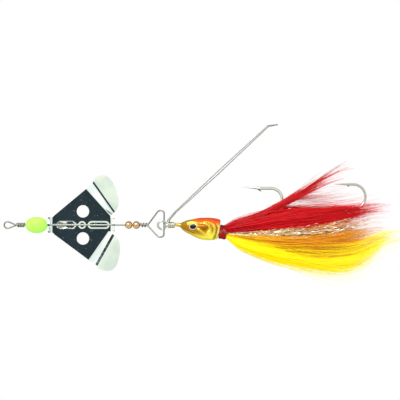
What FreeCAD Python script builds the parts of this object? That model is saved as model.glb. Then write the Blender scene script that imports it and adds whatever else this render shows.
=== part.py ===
import FreeCAD, Part
import math
import os

# In-line buzz spinner: a wire shaft with a line eye in front and a closed link behind,
# a sliding bead, a stamped delta blade, two brass beads, and a jointed bucktail jig with
# a wire weedguard and a trailer hook. Millimetres.
#
# The lure is drawn lying down: x runs from the line eye to the tail, y towards the hook
# points, z out of the side. At the end every piece is turned so that it hangs from the
# line eye: the tail points down (-Z), the hook points are on +X and that side is -Y.
# The origin is the centre of the line eye.

V = FreeCAD.Vector

# ---- main wire -------------------------------------------------------------------------
WIRE_D = 0.8            # spring wire of the shaft
EYE_R = 1.77            # line eye, centre line
EYE_NECK = 4.45         # where the eye's two legs meet, from the eye's centre
FRONT_WRAP_END = 9.5    # rear end of the close wrap behind the eye
FRONT_WRAP_PITCH = 0.95
REAR_WRAP_START = 70.3  # front end of the wrap before the link
REAR_WRAP_PITCH = 1.45
WRAP_GAP = 0.03         # air between a wrap and the wire it goes round
LINK_APEX = 74.3        # where the link's sides leave the shaft
LINK_BAR_X = 82.9       # the link's cross bar
LINK_TOP = 15.5         # sharp corners of the link's triangle, along the cross bar
LINK_BOTTOM = 12.1
LINK_CORNER_R = 1.95
LINK_TILT = 40.0        # the link is turned about the shaft, so its bar passes the jig's eye

# ---- beads -----------------------------------------------------------------------------
BEAD_LENGTH = 11.3
BEAD_D = 8.6
BEAD_MOUTH_R = 1.2      # flat round each end of the bore
BEAD_GAP = 0.2          # from the front wrap to the bead
BORE_CLEARANCE = 0.08   # radial, every piece that runs on the shaft
BRASS_D = 3.97
BRASS_GAP = 0.06        # between the brass beads and from the last one to the rear wrap

# ---- blade -----------------------------------------------------------------------------
SHEET = 0.75
BLADE_GAP = 0.4         # from the bead to the front tab
BLADE_LENGTH = 35.3     # over both tabs
BLADE_DROP = 3.2        # from the shaft's axis to the middle of the plate
TAB_FRONT_HALF = 4.1
TAB_REAR_HALF = 3.45
TAB_TOP = 2.2           # tab end above the shaft's axis
TAB_BEND_R = 1.6        # inside radius of the tab bends
SHOULDER_HALF = 4.9     # half width of the plate behind the front tab
HOLE_R = 3.3            # lightening holes
HOLE_X = 18.35          # from the front face of the blade
HOLE_Y = 7.2
RIB_WIDTH = 4.8         # pressed rib along the middle
RIB_DEPTH = 0.5
RIB_WALL = 0.85         # run of its sloping wall
# start, end, run of the front wall and depth; the first pan deepens slowly towards the tail
RIB_SPANS = ((3.8, 15.2, 4.8, 0.95), (15.5, 20.3, RIB_WALL, RIB_DEPTH), (20.6, 32.8, RIB_WALL, RIB_DEPTH))
EAR_OVERLAP = 1.0
EAR_SLOPE = 37.0        # first slope of an ear, from the plate
EAR_TIP_SLOPE = 30.0
EAR_BEND_R = 1.2
# each ear: corner of the fold, root of the fold, width of the first slope at both, lobe
# height beyond the crease, the crease's own width, and which way it is bent; x from the
# blade's front face
EARS = {
    "upper": {"corner": (20.0, 19.1), "root": (32.9, 4.8), "slope": (4.7, 2.3), "ledge": 1.3,
              "lobe": 8.6, "bend": 1},
    "lower": {"corner": (21.2, -18.5), "root": (31.8, -3.4), "slope": (4.2, 2.3), "ledge": 1.7,
              "lobe": 9.3, "bend": -1},
}
# outline of a lobe, as shares of the crease's length and of the lobe's height
LOBE = ((-0.055, 0.42), (0.05, 0.86), (0.22, 1.0), (0.42, 0.94), (0.70, 0.75), (0.88, 0.51))

# ---- jig hook --------------------------------------------------------------------------
HOOK_D = 1.5
RING_D = 1.1            # wire of the hook's eye
RING_R = 2.2            # eye, centre line
RING_BACK = 1.05        # from the cross bar forward to the eye's centre
SHANK_START = 2.5       # from the eye's centre to the full shank
NECK_X = 91.7           # the shank bends into the head here
ELBOW = (110.5, -5.75)  # the jig bend, inside the head
SHANK_RISE = 23.7       # the shank behind the collar, above the lure's axis
BEND_CENTRE = (139.6, 13.5)
BEND_R = 5.94
POINT_LENGTH = 9.3
POINT_LEG = 5.9         # straight wire from the bend to the point
POINT_LIFT = 0.65
BARB_OUT = 1.45
BARB_LENGTH = 3.8

# ---- head ------------------------------------------------------------------------------
NECK_R = 1.05           # lead sleeve in front of the nose
SLEEVE_START = 84.95
REAR_TILT = 8.6         # the head's rear face and the collar lean this much
REAR_AT = (112.15, -2.2)
# sections across the head: distance behind the nose, middle height, half height, half width
HEAD_SECTIONS = (
    (0.0, -0.25, 1.15, 1.12), (1.4, -0.62, 2.25, 1.95), (3.3, -0.85, 3.25, 2.75),
    (6.1, -1.3, 4.3, 3.55), (9.2, -1.7, 5.35, 4.2), (12.8, -2.03, 5.9, 4.6),
    (16.3, -2.1, 5.9, 4.6), (19.4, -2.1, 5.4, 4.3), (23.2, -2.4, 4.5, 3.8),
)
EYE_AT = (98.3, -0.8)
EYE_HALF = (2.4, 1.8)
EYE_PROUD = 0.3
EYE_SUNK = 0.5

# ---- weedguard -------------------------------------------------------------------------
GUARD_D = 0.55
COIL_R = 1.35
COIL_START = 85.0
COIL_END = 88.3
COIL_PITCH = 0.6
GUARD_STUB = 1.2        # straight end of the coil before the arm
GUARD_GAP = 0.2
GUARD_RISE = 42.9
GUARD_LENGTH = 73.0     # straight run, from above the coil to the knee
GUARD_TIP = (4.2, 0.7)  # from the knee to the end, nearly level
GUARD_SET = (-0.9, 1.3) # where the straight run starts, from the arm's feet
GUARD_SPREAD = 0.3      # half distance of the two wires, at the ends
GUARD_BELLY = 0.6       # and in the middle

# ---- collar and hair -------------------------------------------------------------------
COLLAR_R = 3.3
COLLAR_BULGE = 0.35
COLLAR_LENGTH = 3.9
COLLAR_AT = (111.97, -3.4)
HAIR_START = 116.5

# ---- trailer hook ----------------------------------------------------------------------
TRAILER_D = 1.3
TRAILER_RING_D = 1.1
TRAILER_EYE_R = 1.9     # inside radius
TRAILER_AT = -38.0      # where the eye hangs on the jig hook's bend, degrees round it
TRAILER_SLACK = 0.75
TRAILER_DIP = 2.2       # the shank slopes down by this much
TRAILER_LENGTH = 38.2   # eye centre to bend centre, along the shank
TRAILER_BEND_R = 6.6
TRAILER_LEG = 2.6
TRAILER_POINT = 7.6
TRAILER_BARB = 1.1


def unit(v):
    return v * (1.0 / v.Length)


def rounded(points, radii):
    """Edges of a path of straight runs joined by tangent arcs, one radius per inner point."""
    edges = []
    start = points[0]
    for i in range(1, len(points) - 1):
        p = points[i]
        a = unit(points[i - 1] - p)
        b = unit(points[i + 1] - p)
        half = a.getAngle(b) / 2
        reach = radii[i - 1] / math.tan(half)
        first = p + a * reach
        last = p + b * reach
        middle = unit(a + b)
        centre = p + middle * (radii[i - 1] / math.sin(half))
        edges.append(Part.LineSegment(start, first).toShape())
        edges.append(Part.Arc(first, centre - middle * radii[i - 1], last).toShape())
        start = last
    edges.append(Part.LineSegment(start, points[-1]).toShape())
    return edges


def tube(edges, radius):
    """A round wire swept along a path of edges."""
    path = Part.Wire(edges)
    first = path.OrderedEdges[0]
    start = first.valueAt(first.FirstParameter)
    ring = Part.Wire([Part.Circle(start, first.tangentAt(first.FirstParameter), radius).toShape()])
    return path.makePipeShell([ring], True, False)


def coil(x0, x1, pitch, radius, wire_r, side):
    """A helix of wire round the x axis that starts at x0, at z = side * radius."""
    helix = Part.makeHelix(pitch, abs(x1 - x0), radius)
    ring = Part.Wire([Part.Circle(V(radius, 0, 0), V(0, 2 * math.pi * radius, pitch), wire_r).toShape()])
    body = Part.Wire(helix.Edges).makePipeShell([ring], True, True)
    along = V(math.copysign(1, x1 - x0), 0, 0)
    start = V(0, 0, side)
    over = along.cross(start)
    turn = FreeCAD.Matrix(start.x, over.x, along.x, x0, start.y, over.y, along.y, 0,
                          start.z, over.z, along.z, 0, 0, 0, 0, 1)
    return placed(body, turn)


def placed(shape, matrix):
    copy = shape.copy()
    copy.Placement = FreeCAD.Placement(matrix)
    return copy


def ball(p, radius):
    return Part.makeSphere(radius, p)


def merged(shapes):
    body = shapes[0].multiFuse(shapes[1:])
    return body.removeSplitter()


def face_of(edges):
    return Part.Face(Part.Wire(edges))


def polygon(points):
    return Part.makePolygon(list(points) + [points[0]])


def capsule(x0, x1, half, z):
    """A slot outline with round ends along x."""
    a, b = x0 + half, max(x1 - half, x0 + half + 0.01)
    return Part.Wire([
        Part.LineSegment(V(a, half, z), V(b, half, z)).toShape(),
        Part.Arc(V(b, half, z), V(b + half, 0, z), V(b, -half, z)).toShape(),
        Part.LineSegment(V(b, -half, z), V(a, -half, z)).toShape(),
        Part.Arc(V(a, -half, z), V(a - half, 0, z), V(a, half, z)).toShape(),
    ])


def ellipse_wire(centre, half_y, half_z):
    """An ellipse across the lure, in the plane x = centre.x."""
    major, minor = max(half_y, half_z), min(half_y, half_z)
    curve = Part.Ellipse(V(0, 0, 0), major, minor)
    wire = Part.Wire([curve.toShape()])
    tall = half_y >= half_z
    # the ellipse's long side goes to y on a tall section and to z on a wide one
    columns = (V(0, 1, 0), V(0, 0, 1), V(1, 0, 0)) if tall else (V(0, 0, 1), V(0, -1, 0), V(1, 0, 0))
    x, y, z = columns
    return placed(wire, FreeCAD.Matrix(x.x, y.x, z.x, centre.x, x.y, y.y, z.y, centre.y,
                                       x.z, y.z, z.z, centre.z, 0, 0, 0, 1))


def hang(shape):
    """Turns a lying shape so that the tail points down."""
    return placed(shape, FreeCAD.Matrix(0, 1, 0, 0, 0, 0, -1, 0, -1, 0, 0, 0, 0, 0, 0, 1))


def save(name, shape):
    solids = shape.Solids
    if len(solids) != 1 or not shape.isValid():
        print("CHECK", name, "solids", len(solids), "valid", shape.isValid())
    box = shape.BoundBox
    print("%-18s %8.2f mm3  x %.1f..%.1f  y %.1f..%.1f  z %.1f..%.1f" % (
        name, shape.Volume, box.XMin, box.XMax, box.YMin, box.YMax, box.ZMin, box.ZMax))
    hang(solids[0] if len(solids) == 1 else shape).exportStep("parts/%s.step" % name)


# ---- main wire -------------------------------------------------------------------------
def main_wire():
    r = WIRE_D / 2
    wrap_r = WIRE_D + WRAP_GAP
    touch_x = EYE_R ** 2 / EYE_NECK
    touch_y = EYE_R * math.sqrt(1 - (EYE_R / EYE_NECK) ** 2)
    top, low = V(touch_x, touch_y, 0), V(touch_x, -touch_y, 0)
    across = V(0, math.cos(math.radians(LINK_TILT)), -math.sin(math.radians(LINK_TILT)))
    bar = V(LINK_BAR_X, 0, 0)
    link_end = V(LINK_APEX - 0.35, 0, wrap_r)
    run = rounded(
        [top, V(EYE_NECK, 0, 0), V(LINK_APEX, 0, 0), bar + across * LINK_TOP,
         bar - across * LINK_BOTTOM, link_end],
        [2.0, 1.2, LINK_CORNER_R, LINK_CORNER_R])
    loop = Part.Arc(low, V(-EYE_R, 0, 0), top).toShape()
    closing = V(EYE_NECK + 0.45, 0, -wrap_r)
    leg = Part.makeCylinder(r, (closing - low).Length, low, closing - low)
    front = coil(closing.x, FRONT_WRAP_END - r, FRONT_WRAP_PITCH, wrap_r, r, -1)
    rear = coil(link_end.x, REAR_WRAP_START + r, REAR_WRAP_PITCH, wrap_r, r, 1)
    return merged([tube([loop] + run, r), leg, ball(low, r), ball(closing, r), ball(link_end, r),
                   front, rear])


# ---- beads -----------------------------------------------------------------------------
SHAFT_R = WIRE_D / 2
BORE_R = SHAFT_R + BORE_CLEARANCE
BEAD_X = FRONT_WRAP_END + BEAD_GAP + BEAD_LENGTH / 2


def shaft_bore(x0, x1):
    return Part.makeCylinder(BORE_R, x1 - x0, V(x0, 0, 0), V(1, 0, 0))


def green_bead():
    half = BEAD_LENGTH / 2
    radius = BEAD_D / 2
    # an ellipse whose ends are cut where it is as wide as the bore's mouth
    long_half = half / math.sqrt(1 - (BEAD_MOUTH_R / radius) ** 2)
    egg = Part.Ellipse(V(0, 0, 0), long_half, radius)
    profile = Part.Face(Part.Wire([egg.toShape()]))
    upper = Part.makePlane(2 * half, radius + 1, V(-half, 0, 0))
    solid = profile.common(upper).Faces[0].revolve(V(0, 0, 0), V(1, 0, 0), 360)
    solid.translate(V(BEAD_X, 0, 0))
    return Part.Solid(solid.Shells[0]).cut(shaft_bore(BEAD_X - half - 1, BEAD_X + half + 1))


def brass_bead(centre_x):
    return ball(V(centre_x, 0, 0), BRASS_D / 2).cut(shaft_bore(centre_x - BRASS_D, centre_x + BRASS_D))


# ---- blade -----------------------------------------------------------------------------
BLADE_X = FRONT_WRAP_END + BEAD_GAP + BEAD_LENGTH + BLADE_GAP


def prism(edges, z0, z1):
    face = face_of(edges)
    face.translate(V(0, 0, z0))
    return face.extrude(V(0, 0, z1 - z0))


def sheet_strip(points, radii):
    """Closed outline of a bent sheet: its middle line moved half a thickness to each side."""
    def side(s):
        moved = []
        for i, p in enumerate(points):
            before = unit(p - points[i - 1]) if i else unit(points[1] - p)
            after = unit(points[i + 1] - p) if i < len(points) - 1 else before
            n1 = V(-before.y, before.x, 0)
            n2 = V(-after.y, after.x, 0)
            bisector = unit(n1 + n2)
            moved.append(p + bisector * (s * SHEET / 2 / bisector.dot(n1)))
        fitted = []
        for i in range(1, len(points) - 1):
            turn = (points[i] - points[i - 1]).cross(points[i + 1] - points[i]).z
            fitted.append(radii[i - 1] + (-s if turn > 0 else s) * SHEET / 2)
        return moved, rounded(moved, fitted)
    left, left_edges = side(1)
    right, right_edges = side(-1)
    caps = [Part.LineSegment(left[-1], right[-1]).toShape(), Part.LineSegment(right[0], left[0]).toShape()]
    return Part.Wire(Part.__sortEdges__(left_edges + right_edges + caps))


def ear(spec):
    """One ear: a sheet bent twice along the fold, trimmed to the lobe's outline."""
    corner = V(BLADE_X + spec["corner"][0], spec["corner"][1], 0)
    root = V(BLADE_X + spec["root"][0], spec["root"][1], 0)
    along = unit(root - corner)
    out = V(-along.y, along.x, 0)
    if out.x < 0:
        out = out * -1.0
    up = V(0, 0, spec["bend"])
    rise, tip = math.radians(EAR_SLOPE), math.radians(EAR_TIP_SLOPE)
    length = (root - corner).Length
    reach = 1.6 * spec["lobe"]
    ledge = spec["ledge"]   # narrow flat crease between the two slopes

    def section(share):
        width = spec["slope"][0] + (spec["slope"][1] - spec["slope"][0]) * share
        h = (width - 0.35) * math.tan(rise)
        flat = sheet_strip(
            [V(-EAR_OVERLAP, 0, 0), V(0.35, 0, 0), V(width, h, 0), V(width + ledge, h, 0),
             V(width + ledge + reach, h + reach * math.tan(tip), 0)],
            [EAR_BEND_R, 0.6, 0.6])
        at = corner + along * (length * share) + V(0, 0, -BLADE_DROP)
        third = out.cross(up)
        return placed(flat, FreeCAD.Matrix(out.x, up.x, third.x, at.x, out.y, up.y, third.y, at.y,
                                           out.z, up.z, third.z, at.z, 0, 0, 0, 1))

    body = Part.makeLoft([section(-0.35), section(1.35)], True, True)
    crease_a = corner + out * (spec["slope"][0] + ledge / 2)
    crease_b = root + out * (spec["slope"][1] + ledge / 2)
    chord = crease_b - crease_a
    outward = V(-chord.y, chord.x, 0)
    if outward.x < 0:
        outward = outward * -1.0
    outward = unit(outward)
    points = [crease_a] + [crease_a + chord * s + outward * (h * spec["lobe"]) for s, h in LOBE] + [crease_b]
    lobe = Part.BSplineCurve()
    lobe.interpolate(points)
    inside_a, inside_b = corner - out * EAR_OVERLAP, root - out * EAR_OVERLAP
    lines = [Part.LineSegment(a, b).toShape() for a, b in (
        (corner, crease_a), (crease_b, root), (root, inside_b), (inside_b, inside_a), (inside_a, corner))]
    outline = Part.__sortEdges__(lines + [lobe.toShape()])
    return body.common(prism(outline, -40, 40))


def spinner_blade():
    x0, x1 = BLADE_X, BLADE_X + BLADE_LENGTH
    low = -BLADE_DROP
    half = SHEET / 2
    strip = sheet_strip(
        [V(x0 + half, TAB_TOP + 1, 0), V(x0 + half, low, 0), V(x1 - half, low, 0), V(x1 - half, TAB_TOP + 1, 0)],
        [TAB_BEND_R + half, TAB_BEND_R + half])
    # the strip is drawn in x and y, then stood up into x and z
    stood = placed(Part.Face(strip), FreeCAD.Matrix(1, 0, 0, 0, 0, 0, -1, 30, 0, 1, 0, 0, 0, 0, 0, 1))
    band = stood.extrude(V(0, -60, 0))
    up, dn = EARS["upper"], EARS["lower"]
    f, b = TAB_FRONT_HALF, TAB_REAR_HALF
    shoulder = x0 + SHEET + TAB_BEND_R
    tail = x1 - SHEET - TAB_BEND_R
    outline = [
        V(x0 - 1, f, 0), V(shoulder, f, 0), V(shoulder + 0.6, SHOULDER_HALF, 0),
        V(x0 + up["corner"][0], up["corner"][1], 0), V(x0 + up["root"][0], up["root"][1], 0),
        V(tail, b, 0), V(x1 + 1, b, 0), V(x1 + 1, -b, 0), V(tail, -b, 0),
        V(x0 + dn["root"][0], dn["root"][1], 0), V(x0 + dn["corner"][0], dn["corner"][1], 0),
        V(shoulder + 0.6, -SHOULDER_HALF, 0), V(shoulder, -f, 0), V(x0 - 1, -f, 0)]
    plan = Part.Face(polygon(outline))
    plan.translate(V(0, 0, -20))
    body = band.common(plan.extrude(V(0, 0, 40)))
    # round tab ends
    for x, wide in ((x0, f), (x1, b)):
        start = x - 1 if x == x0 else x - SHEET - TAB_BEND_R * 0.5
        end = x + SHEET + TAB_BEND_R * 0.5 if x == x0 else x + 1
        keep = Part.makeCylinder(wide, end - start, V(start, 0, TAB_TOP - wide), V(1, 0, 0))
        keep = keep.fuse(Part.makeBox(end - start, 2 * wide, 20, V(start, -wide, TAB_TOP - wide - 20)))
        body = body.cut(Part.makeBox(end - start, 80, 40, V(start, -40, -20)).cut(keep))
    for spec in EARS.values():
        body = body.fuse(ear(spec))
    # pressed rib: three shallow pans in line, open towards the shaft
    floor = low + half
    for a, b2, ramp, depth in RIB_SPANS:
        a, b2, w = x0 + a, x0 + b2, RIB_WIDTH / 2
        shell = Part.makeLoft([capsule(a, b2, w, low), capsule(a + ramp, b2 - RIB_WALL, w - RIB_WALL,
                                                               low - half - depth)], True, True)
        inner = Part.makeLoft([capsule(a + 0.3, b2 - 0.3, w - 0.3, floor + 0.01),
                               capsule(a + 0.3 + ramp, b2 - 0.3 - RIB_WALL, w - 0.3 - RIB_WALL,
                                       floor - depth)], True, True)
        body = body.fuse(shell).cut(inner)
    for y in (HOLE_Y, -HOLE_Y):
        body = body.cut(Part.makeCylinder(HOLE_R, 4, V(x0 + HOLE_X, y, low - 2)))
    return body.cut(shaft_bore(x0 - 1, x1 + 1)).removeSplitter()


# ---- jig hook --------------------------------------------------------------------------
RING_X = LINK_BAR_X - RING_BACK


def circle_edges(centre, radius, from_deg, to_deg):
    """An arc in the lure's own plane, anticlockwise from one angle to the other."""
    def at(deg):
        return centre + V(radius * math.cos(math.radians(deg)), radius * math.sin(math.radians(deg)), 0)
    return Part.Arc(at(from_deg), at((from_deg + to_deg) / 2), at(to_deg)).toShape(), at(from_deg), at(to_deg)


def hook_point(start, length, lift, radius, barb_out, barb_length):
    """Tapered point with a barb on the side of the gap, from start towards -x."""
    tip_axis = V(-length, lift, 0)
    cone = Part.makeCone(radius, 0.06, tip_axis.Length, start, tip_axis)
    back = start + V(-barb_length * 0.55, -radius * 0.25, 0)
    barb = Part.Face(polygon([
        back, start + V(barb_length * 0.25, -radius - barb_out + 0.25, 0),
        start + V(-barb_length * 0.05, -radius * 0.3, 0)]))
    barb.translate(V(0, 0, -radius * 0.45))
    return [cone, ball(start, radius), barb.extrude(V(0, 0, radius * 0.9))]


def jig_hook():
    r = HOOK_D / 2
    centre = V(BEND_CENTRE[0], BEND_CENTRE[1], 0)
    arc, low, top = circle_edges(centre, BEND_R, SHANK_RISE - 90, 90)
    ring = Part.makeTorus(RING_R, RING_D / 2, V(RING_X, 0, 0), V(0, 0, 1))
    start = V(RING_X + SHANK_START, 0, 0)
    path = rounded([start, V(NECK_X, 0, 0), V(ELBOW[0], ELBOW[1], 0), low], [6.0, 3.5])
    leg_end = top + V(-POINT_LEG, 0, 0)
    body = tube(path + [arc, Part.LineSegment(top, leg_end).toShape()], r)
    return merged([body, ring, ball(start, r)]
                  + hook_point(leg_end, POINT_LENGTH, POINT_LIFT, r, BARB_OUT, BARB_LENGTH))


# ---- head, eyes and collar -------------------------------------------------------------
def head_form(grow):
    """The fish-shaped head, its sections grown by the same amount all round."""
    sections = [ellipse_wire(V(NECK_X + x, y, 0), h + grow, w + grow) for x, y, h, w in HEAD_SECTIONS]
    return Part.makeLoft(sections, True, False)


def rear_cut():
    """Everything behind the head's leaning rear face."""
    block = Part.makeBox(40, 60, 60, V(0, -30, -30))
    block.rotate(V(0, 0, 0), V(0, 0, 1), -REAR_TILT)
    block.translate(V(REAR_AT[0], REAR_AT[1], 0))
    return block


def eye_patch(side):
    post = Part.Ellipse(V(0, 0, 0), EYE_HALF[0], EYE_HALF[1])
    face = Part.Face(Part.Wire([post.toShape()]))
    face.rotate(V(0, 0, 0), V(0, 0, 1), -REAR_TILT)
    face.translate(V(EYE_AT[0], EYE_AT[1], 0))
    body = face.extrude(V(0, 0, side * 10))
    return body.common(head_form(EYE_PROUD)).cut(head_form(-EYE_SUNK))


def jig_head(hook, eyes):
    sleeve = Part.makeCylinder(NECK_R, NECK_X + 1 - SLEEVE_START, V(SLEEVE_START, 0, 0), V(1, 0, 0))
    body = head_form(0).cut(rear_cut()).fuse(sleeve)
    return body.cut(hook).cut(eyes[0]).cut(eyes[1])


def collar_axis():
    lean = math.radians(REAR_TILT)
    return V(COLLAR_AT[0], COLLAR_AT[1], 0), V(math.cos(lean), -math.sin(lean), 0)


def thread_collar(hook):
    start, axis = collar_axis()
    r, b, n = COLLAR_R, COLLAR_BULGE, COLLAR_LENGTH
    edges = [
        Part.LineSegment(V(0, 0, 0), V(0, r, 0)).toShape(),
        Part.Arc(V(0, r, 0), V(n / 2, r + b, 0), V(n, r, 0)).toShape(),
        Part.LineSegment(V(n, r, 0), V(n, 0, 0)).toShape(),
        Part.LineSegment(V(n, 0, 0), V(0, 0, 0)).toShape()]
    body = face_of(edges).revolve(V(0, 0, 0), V(1, 0, 0), 360)
    body = Part.Solid(body.Shells[0]) if not body.Solids else body.Solids[0]
    body.rotate(V(0, 0, 0), V(0, 0, 1), -REAR_TILT)
    body.translate(start)
    return body.cut(head_form(0).cut(rear_cut())).cut(hook)


# ---- weedguard -------------------------------------------------------------------------
def guard_start(side):
    return V(COIL_START + (0 if side > 0 else 1.5 * COIL_PITCH), GUARD_STUB, side * COIL_R)


def weedguard_coil():
    r = GUARD_D / 2
    body = coil(COIL_START, COIL_END, COIL_PITCH, COIL_R, r, 1)
    stubs = []
    for side in (1, -1):
        end = guard_start(side)
        foot = V(end.x, 0, end.z)
        stubs += [Part.makeCylinder(r, GUARD_STUB, foot, V(0, 1, 0)), ball(foot, r)]
    return merged([body] + stubs)


def weedguard_arm():
    r = GUARD_D / 2
    rise = math.radians(GUARD_RISE)
    along = V(math.cos(rise), math.sin(rise), 0)
    over = V(-math.sin(rise), math.cos(rise), 0)
    foot = (guard_start(1) + guard_start(-1)) * 0.5
    base = V(foot.x + GUARD_SET[0], foot.y + GUARD_GAP + GUARD_SET[1], 0)
    knee = base + along * GUARD_LENGTH
    end = knee + V(GUARD_TIP[0], GUARD_TIP[1], 0)

    def side_points(side):
        z = side * COIL_R
        start = guard_start(side) + V(0, GUARD_GAP, 0)
        lift = V(0, 0, z)
        return [start, start + V(-0.25, 1.0, 0),
                base + along * 6 + over * (side * GUARD_SPREAD) + lift,
                base + along * (GUARD_LENGTH * 0.5) + over * (side * GUARD_BELLY) + lift,
                knee + over * (side * GUARD_SPREAD) + V(0, 0, z * 0.75),
                end + V(0, side * 0.02, z * 0.6)]
    near, far = side_points(1), side_points(-1)
    corner = [0.6, 8.0, 40.0, 1.5]
    tip_r = (near[-1] - far[-1]).Length / 2
    shift = V(tip_r, 0, 0)
    cap = Part.Arc(near[-1], (near[-1] + far[-1]) * 0.5 + shift, far[-1]).toShape()
    parts = [tube(rounded(near, corner), r), tube(rounded(far, corner), r), tube([cap], r),
             ball(near[-1], r), ball(far[-1], r)]
    return merged(parts)


# ---- trailer hook ----------------------------------------------------------------------
def trailer_hook():
    r = TRAILER_D / 2
    ring_r = TRAILER_EYE_R + TRAILER_RING_D / 2
    on_bend = V(BEND_CENTRE[0], BEND_CENTRE[1], 0) + V(
        BEND_R * math.cos(math.radians(TRAILER_AT)), BEND_R * math.sin(math.radians(TRAILER_AT)), 0)
    dip = math.radians(TRAILER_DIP)
    along = V(math.cos(dip), -math.sin(dip), 0)
    centre = on_bend + along * (TRAILER_EYE_R - HOOK_D / 2 - TRAILER_SLACK)
    ring = Part.makeTorus(ring_r, TRAILER_RING_D / 2, centre, V(math.sin(dip), math.cos(dip), 0))
    start = centre + along * (ring_r + 0.25)
    bend = centre + along * TRAILER_LENGTH + V(math.sin(dip), math.cos(dip), 0) * TRAILER_BEND_R
    arc, low, top = circle_edges(bend, TRAILER_BEND_R, -90 - TRAILER_DIP, 90)
    leg_end = top + V(-TRAILER_LEG, 0, 0)
    body = tube([Part.LineSegment(start, low).toShape(), arc, Part.LineSegment(top, leg_end).toShape()], r)
    return merged([body, ring, ball(start, r)]
                  + hook_point(leg_end, TRAILER_POINT, 0.1, r, TRAILER_BARB, 3.0)), on_bend


# ---- hair ------------------------------------------------------------------------------
# Each bundle is a plain tapered body. One row is a section: distance behind the hair's
# start, height of its upper and its lower side, depth of its middle and its half depth.
BUNDLES = {
    "red_hair_upper": ((0.0, 0.6, -0.6, 1.2, 1.0), (8.0, 4.4, 1.2, 2.6, 1.3), (18.0, 9.4, 4.8, 4.2, 1.3),
                       (28.0, 14.8, 10.6, 5.0, 1.3), (42.0, 22.4, 17.6, 4.6, 1.5), (60.0, 31.4, 26.6, 3.6, 1.0)),
    "red_hair_main": ((0.0, -1.0, -4.5, 0.0, 3.2), (8.0, 0.8, -3.7, 0.0, 4.2), (18.0, 3.8, -2.9, 0.0, 4.6),
                      (28.0, 5.3, -2.3, 0.0, 4.8), (42.0, 6.8, -0.7, 0.0, 4.6), (54.0, 7.1, 1.5, 0.0, 3.8),
                      (66.0, 7.1, 3.9, 0.0, 2.4), (76.0, 6.9, 5.9, 0.0, 0.8)),
    "flash_strands": ((0.0, -4.8, -5.4, 0.0, 3.0), (8.0, -4.0, -5.6, 0.0, 3.8), (18.0, -3.2, -5.9, 0.0, 4.2),
                      (28.0, -2.6, -5.9, 0.0, 4.4), (42.0, -1.0, -5.4, 0.0, 4.2), (54.0, 1.2, -4.8, 0.0, 3.4),
                      (66.0, 3.6, -2.6, 0.0, 2.0), (76.0, 5.6, 3.0, 0.0, 0.8)),
    "orange_hair": ((0.0, -5.7, -6.3, 0.0, 2.6), (8.0, -5.9, -7.0, 0.0, 3.4), (18.0, -6.2, -8.0, 0.0, 3.8),
                    (28.0, -6.2, -9.8, 0.0, 4.2), (42.0, -5.7, -12.6, 0.0, 4.4), (54.0, -5.1, -14.0, 0.0, 3.8),
                    (66.0, -3.2, -12.0, 0.0, 2.8), (76.0, -1.0, -8.0, 0.0, 1.6)),
    "yellow_hair": ((0.0, -6.6, -8.2, 0.0, 2.0), (8.0, -7.3, -11.2, 0.0, 3.6), (18.0, -8.3, -14.6, 0.0, 4.6),
                    (28.0, -10.1, -18.0, 0.0, 5.0), (42.0, -12.9, -22.0, 0.0, 5.2), (54.0, -14.3, -23.6, 0.0, 4.6),
                    (66.0, -12.3, -22.0, 0.0, 3.6), (76.0, -8.3, -17.0, 0.0, 2.4), (86.0, -3.0, -8.0, 0.0, 1.0)),
}


def hair(rows):
    sections = [ellipse_wire(V(HAIR_START + x, (hi + lo) / 2, z), (hi - lo) / 2, w) for x, hi, lo, z, w in rows]
    return Part.makeLoft(sections, True, True)


def build():
    os.makedirs("parts", exist_ok=True)
    wire = main_wire()
    save("main_wire", wire)
    save("green_bead", green_bead())
    save("spinner_blade", spinner_blade())
    last = REAR_WRAP_START - BRASS_GAP - BRASS_D / 2
    save("brass_bead_rear", brass_bead(last))
    save("brass_bead_front", brass_bead(last - BRASS_GAP - BRASS_D))
    hook = jig_hook()
    save("jig_hook", hook)
    eyes = [eye_patch(1), eye_patch(-1)]
    save("near_eye", eyes[0])
    save("far_eye", eyes[1])
    save("jig_head", jig_head(hook, eyes))
    save("thread_collar", thread_collar(hook))
    save("weedguard_coil", weedguard_coil())
    save("weedguard_arm", weedguard_arm())
    trailer, on_bend = trailer_hook()
    save("trailer_hook", trailer)
    for name, rows in BUNDLES.items():
        save(name, hair(rows).cut(hook))
    print("trailer pivot", on_bend)


build()
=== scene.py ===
# %% [markdown]
# # An in-line buzz spinner, hanging from its line eye
# The CAD frame holds the wires, hooks, blade and beads at their true size. Blender adds
# what a machine drawing cannot: hair, tinsel, thread, a painted fish head and the finish
# of every metal. We load the frame first, because every new piece is placed on it.

import math

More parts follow.
